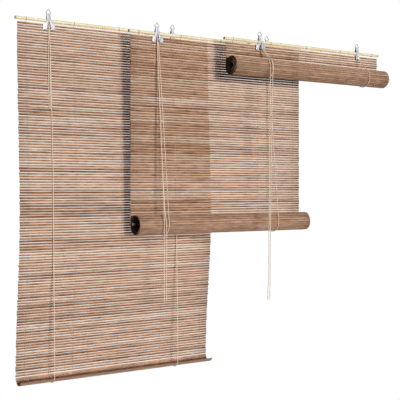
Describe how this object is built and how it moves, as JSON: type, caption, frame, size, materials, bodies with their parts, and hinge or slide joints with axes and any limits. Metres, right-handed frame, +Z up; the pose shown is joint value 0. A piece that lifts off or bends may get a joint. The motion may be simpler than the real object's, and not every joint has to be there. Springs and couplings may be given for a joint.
{
  "type": "roll-up bamboo blind set",
  "caption": "Set of woven bamboo-slat roll-up blinds on bamboo rods, hung by wire rings and folded metal clips, with lift cords that roll each curtain up from its foot.",
  "frame": {"origin": "where a hook bears inside the apex of the left blind's first ring", "axes": "+X along the rods to the right, +Z up, the blinds' fronts face -Y"},
  "size_m": [1.975, 0.3403, 1.6517],
  "materials": {
    "slat_bamboo": "stained split bamboo, matt",
    "batten_bamboo": "stained bamboo strip, matt",
    "rod_bamboo": "natural bamboo, waxy",
    "clip_metal": "bright nickel plate",
    "cord_cotton": "braided cotton",
    "weave_thread": "twisted thread"
  },
  "bodies": {
    "head": {"left_head_rod": "rod_bamboo", "left_cord_clip": "clip_metal", "left_plain_clip": "clip_metal", "left_clip_pins": "clip_metal", "left_weave_threads": "weave_thread", "left_hanging_slats": "slat_bamboo", "left_lift_cords_front": "cord_cotton", "left_lift_cords_rear": "cord_cotton", "left_head_cord": "cord_cotton", "left_pull_cord_a": "cord_cotton", "left_pull_cord_b": "cord_cotton", "middle_head_rod": "rod_bamboo", "middle_cord_clip": "clip_metal", "middle_plain_clip": "clip_metal", "middle_clip_pins": "clip_metal", "middle_weave_threads": "weave_thread", "middle_hanging_slats": "slat_bamboo", "middle_lift_cords_front": "cord_cotton", "middle_lift_cords_rear": "cord_cotton", "middle_head_cord": "cord_cotton", "middle_pull_cord_a": "cord_cotton", "middle_pull_cord_b": "cord_cotton", "right_head_rod": "rod_bamboo", "right_cord_clip": "clip_metal", "right_plain_clip": "clip_metal", "right_clip_pins": "clip_metal", "right_weave_threads": "weave_thread", "right_hanging_slats": "slat_bamboo", "right_lift_cords_front": "cord_cotton", "right_lift_cords_rear": "cord_cotton", "right_head_cord": "cord_cotton", "right_pull_cord_a": "cord_cotton", "right_pull_cord_b": "cord_cotton"},
    "left_curl": {"left_curl_slats": "slat_bamboo", "left_curl_threads": "weave_thread", "left_bottom_batten": "batten_bamboo", "left_cord_slings": "cord_cotton"},
    "left_first_ring": {"left_cord_clip_ring": "clip_metal"},
    "left_second_ring": {"left_plain_clip_ring": "clip_metal"},
    "middle_sling": {"middle_cord_slings": "cord_cotton"},
    "middle_roll": {"middle_roll_slats": "slat_bamboo", "middle_roll_threads": "weave_thread", "middle_bottom_batten": "batten_bamboo"},
    "middle_first_ring": {"middle_cord_clip_ring": "clip_metal"},
    "middle_second_ring": {"middle_plain_clip_ring": "clip_metal"},
    "right_sling": {"right_cord_slings": "cord_cotton"},
    "right_roll": {"right_roll_slats": "slat_bamboo", "right_roll_threads": "weave_thread", "right_bottom_batten": "batten_bamboo"},
    "right_first_ring": {"right_cord_clip_ring": "clip_metal"},
    "right_second_ring": {"right_plain_clip_ring": "clip_metal"}
  },
  "joints": [
    {"name": "left_rise", "type": "slide", "parent": "head", "child": "left_curl", "axis": [0, 0, 1], "range_m": [0, 1.4], "deforming": ["left_hanging_slats", "left_weave_threads", "left_lift_cords_front", "left_lift_cords_rear", "left_pull_cord_a", "left_pull_cord_b"]},
    {"name": "left_first_ring_swing", "type": "hinge", "parent": "head", "child": "left_first_ring", "pos_m": [0, 0, -0.0206], "axis": [1, 0, 0], "range_deg": [-80, 80]},
    {"name": "left_second_ring_swing", "type": "hinge", "parent": "head", "child": "left_second_ring", "pos_m": [0.648, 0, -0.0206], "axis": [1, 0, 0], "range_deg": [-80, 80]},
    {"name": "middle_rise", "type": "slide", "parent": "head", "child": "middle_sling", "axis": [0, 0, 1], "range_m": [-0.66, 0.745], "deforming": ["middle_hanging_slats", "middle_weave_threads", "middle_lift_cords_front", "middle_lift_cords_rear", "middle_pull_cord_a", "middle_pull_cord_b"]},
    {"name": "middle_roll_spin", "type": "hinge", "parent": "middle_sling", "child": "middle_roll", "pos_m": [0.855, -0.154, -0.9581], "axis": [1, 0, 0], "range_deg": [-930, 825]},
    {"name": "middle_first_ring_swing", "type": "hinge", "parent": "head", "child": "middle_first_ring", "pos_m": [0.495, -0.108, -0.0436], "axis": [1, 0, 0], "range_deg": [-80, 80]},
    {"name": "middle_second_ring_swing", "type": "hinge", "parent": "head", "child": "middle_second_ring", "pos_m": [1.143, -0.108, -0.0436], "axis": [1, 0, 0], "range_deg": [-80, 80]},
    {"name": "right_rise", "type": "slide", "parent": "head", "child": "right_sling", "axis": [0, 0, 1], "range_m": [-1.4, 0], "deforming": ["right_hanging_slats", "right_weave_threads", "right_lift_cords_front", "right_lift_cords_rear", "right_pull_cord_a", "right_pull_cord_b"]},
    {"name": "right_roll_spin", "type": "hinge", "parent": "right_sling", "child": "right_roll", "pos_m": [1.31, -0.262, -0.2121], "axis": [1, 0, 0], "range_deg": [-2, 1746]},
    {"name": "right_first_ring_swing", "type": "hinge", "parent": "head", "child": "right_first_ring", "pos_m": [1.015, -0.216, -0.0496], "axis": [1, 0, 0], "range_deg": [-80, 80]},
    {"name": "right_second_ring_swing", "type": "hinge", "parent": "head", "child": "right_second_ring", "pos_m": [1.663, -0.216, -0.0496], "axis": [1, 0, 0], "range_deg": [-80, 80]}
  ],
  "couplings": [
    {"joint": "middle_roll_spin", "follows": "middle_rise", "rad_per_m": -21.739},
    {"joint": "right_roll_spin", "follows": "right_rise", "rad_per_m": -21.739}
  ]
}
